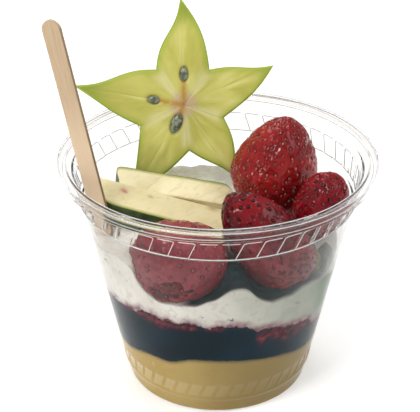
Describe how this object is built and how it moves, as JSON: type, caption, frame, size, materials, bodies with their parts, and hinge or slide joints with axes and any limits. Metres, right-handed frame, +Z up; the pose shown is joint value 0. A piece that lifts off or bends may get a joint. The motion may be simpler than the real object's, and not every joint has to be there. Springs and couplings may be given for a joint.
{
  "type": "layered dessert cup",
  "caption": "Clear plastic cup filled with custard, dark berry jelly and whipped cream, topped with strawberries, apple slices, a star-fruit slice and a wooden stirrer.",
  "frame": {"origin": "centre of the cup's flat base, on the surface it stands on", "axes": "+Z up along the cup's axis, -Y towards the side shown in the picture, +X to the right of it"},
  "size_m": [0.0979, 0.098, 0.1244],
  "materials": {
    "clear_plastic": "clear, glossy, thin moulded plastic",
    "custard": "smooth, pale yellow-brown custard",
    "berry_jelly": "dark, glossy berry jelly",
    "whipped_cream": "soft, matte whipped cream",
    "strawberry": "wet, glossy red with small seeds",
    "apple_flesh": "moist, pale cream flesh with dark green peel",
    "star_fruit": "moist, yellow-green flesh",
    "birch_wood": "plain, unvarnished birch"
  },
  "bodies": {
    "root": {"cup": "clear_plastic", "custard": "custard", "berry_jelly": "berry_jelly", "whipped_cream": "whipped_cream", "strawberry_back": "strawberry", "strawberry_right": "strawberry", "strawberry_centre": "strawberry", "strawberry_left": "strawberry", "apple_slice_front": "apple_flesh", "apple_slice_rear": "apple_flesh", "apple_slice_side": "apple_flesh", "star_fruit_slice": "star_fruit", "wooden_stirrer": "birch_wood"}
  },
  "joints": []
}
